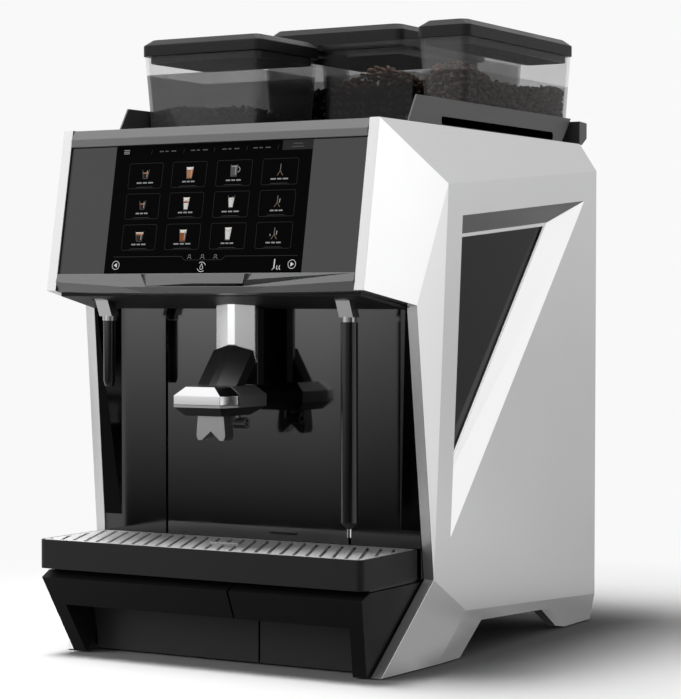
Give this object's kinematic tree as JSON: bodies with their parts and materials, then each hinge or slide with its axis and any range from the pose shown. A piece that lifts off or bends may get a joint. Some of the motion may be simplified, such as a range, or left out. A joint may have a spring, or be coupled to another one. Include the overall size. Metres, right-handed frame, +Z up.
{
  "type": "automatic coffee machine",
  "caption": "Countertop bean-to-cup coffee machine with faceted side shells, tilted touch panel, height-adjustable spout, swinging wands, drip tray, drawers and lift-off hoppers.",
  "frame": {"origin": "centre of the footprint, on the counter", "axes": "+Z up, +X to the machine's right seen from the front, +Y from front to back"},
  "size_m": [0.447, 0.5686, 0.7225],
  "materials": {
    "satin_silver": "satin silver, smooth",
    "chrome": "polished",
    "steel": "brushed",
    "charcoal": "matt, fine texture",
    "black": "matt",
    "gloss_black": "high gloss",
    "bar_grey": "satin metallic grey",
    "collar_grey": "satin grey",
    "smoke": "smoke-tinted clear plastic",
    "tinted_pane": "dark smoked, glossy",
    "beans": "roasted, slightly oily",
    "nozzle_grey": "satin grey",
    "rubber": "matt",
    "brass": "machined",
    "board": "lacquered board"
  },
  "bodies": {
    "housing": {"fascia_top_bar": "bar_grey", "fascia_bottom_bar": "bar_grey", "badge_plate": "bar_grey", "fascia_glass": "gloss_black", "display_housing": "black", "side_shell_right": "satin_silver", "side_shell_left": "satin_silver", "side_pane_right": "tinted_pane", "side_pane_left": "tinted_pane", "foot_front_right": "rubber", "foot_front_left": "rubber", "foot_rear_right": "rubber", "foot_rear_left": "rubber", "floor_sheet": "steel", "tray_shelf": "steel", "rear_cover": "charcoal", "power_inlet": "black", "water_inlet": "brass", "top_deck": "charcoal", "collar_plate_right": "collar_grey", "collar_plate_left": "collar_grey", "rear_ledge": "charcoal", "head_soffit": "black", "bay_back_panel": "gloss_black", "bay_corner_right": "gloss_black", "bay_corner_left": "gloss_black", "spout_guide": "steel", "left_grinder": "charcoal", "middle_grinder": "charcoal", "right_grinder": "charcoal", "steam_boiler": "steel", "coffee_boiler": "steel", "brew_unit": "nozzle_grey", "water_pump": "brass", "control_board": "board"},
    "drip_tray": {"drip_tray": "charcoal"},
    "drip_grid": {"drip_grid": "steel"},
    "grounds_drawer": {"grounds_drawer_front": "charcoal", "grounds_bin": "black"},
    "waste_drawer": {"waste_drawer_front": "charcoal", "waste_bin": "black"},
    "spout": {"spout_cover": "satin_silver", "spout_carriage": "charcoal", "spout_trim": "chrome", "spout_head": "black", "spout_nozzle": "nozzle_grey"},
    "steam_wand": {"steam_arm": "chrome", "steam_tube": "black", "steam_tip": "chrome"},
    "water_wand": {"water_arm": "chrome", "water_tube": "black"},
    "left_hopper": {"left_hopper": "smoke", "left_beans": "beans"},
    "left_lid": {"left_lid": "charcoal"},
    "middle_hopper": {"middle_hopper": "smoke", "middle_beans": "beans"},
    "middle_lid": {"middle_lid": "charcoal"},
    "right_hopper": {"right_hopper": "smoke", "right_beans": "beans"},
    "right_lid": {"right_lid": "charcoal"}
  },
  "joints": [
    {"name": "tray_slide", "type": "slide", "parent": "housing", "child": "drip_tray", "axis": [0, -1, 0], "range_m": [0, 0.12]},
    {"name": "grid_lift", "type": "slide", "parent": "drip_tray", "child": "drip_grid", "axis": [0, 0, 1], "range_m": [0, 0.012]},
    {"name": "grounds_drawer_slide", "type": "slide", "parent": "housing", "child": "grounds_drawer", "axis": [0, -1, 0], "range_m": [0, 0.18]},
    {"name": "waste_drawer_slide", "type": "slide", "parent": "housing", "child": "waste_drawer", "axis": [0, -1, 0], "range_m": [0, 0.18]},
    {"name": "spout_height", "type": "slide", "parent": "housing", "child": "spout", "axis": [0, 0, 1], "range_m": [-0.045, 0.045]},
    {"name": "steam_wand_swing", "type": "hinge", "parent": "housing", "child": "steam_wand", "pos_m": [0.157, -0.2322, 0.4045], "axis": [-1, 0, 0], "range_deg": [-5, 35]},
    {"name": "water_wand_swing", "type": "hinge", "parent": "housing", "child": "water_wand", "pos_m": [-0.157, -0.2322, 0.4045], "axis": [-1, 0, 0], "range_deg": [-5, 35]},
    {"name": "left_hopper_lift", "type": "slide", "parent": "housing", "child": "left_hopper", "axis": [0, 0, 1], "range_m": [0, 0.06]},
    {"name": "left_lid_lift", "type": "slide", "parent": "left_hopper", "child": "left_lid", "axis": [0, 0, 1], "range_m": [0, 0.05]},
    {"name": "middle_hopper_lift", "type": "slide", "parent": "housing", "child": "middle_hopper", "axis": [0, 0, 1], "range_m": [0, 0.06]},
    {"name": "middle_lid_lift", "type": "slide", "parent": "middle_hopper", "child": "middle_lid", "axis": [0, 0, 1], "range_m": [0, 0.05]},
    {"name": "right_hopper_lift", "type": "slide", "parent": "housing", "child": "right_hopper", "axis": [0, 0, 1], "range_m": [0, 0.06]},
    {"name": "right_lid_lift", "type": "slide", "parent": "right_hopper", "child": "right_lid", "axis": [0, 0, 1], "range_m": [0, 0.05]}
  ]
}
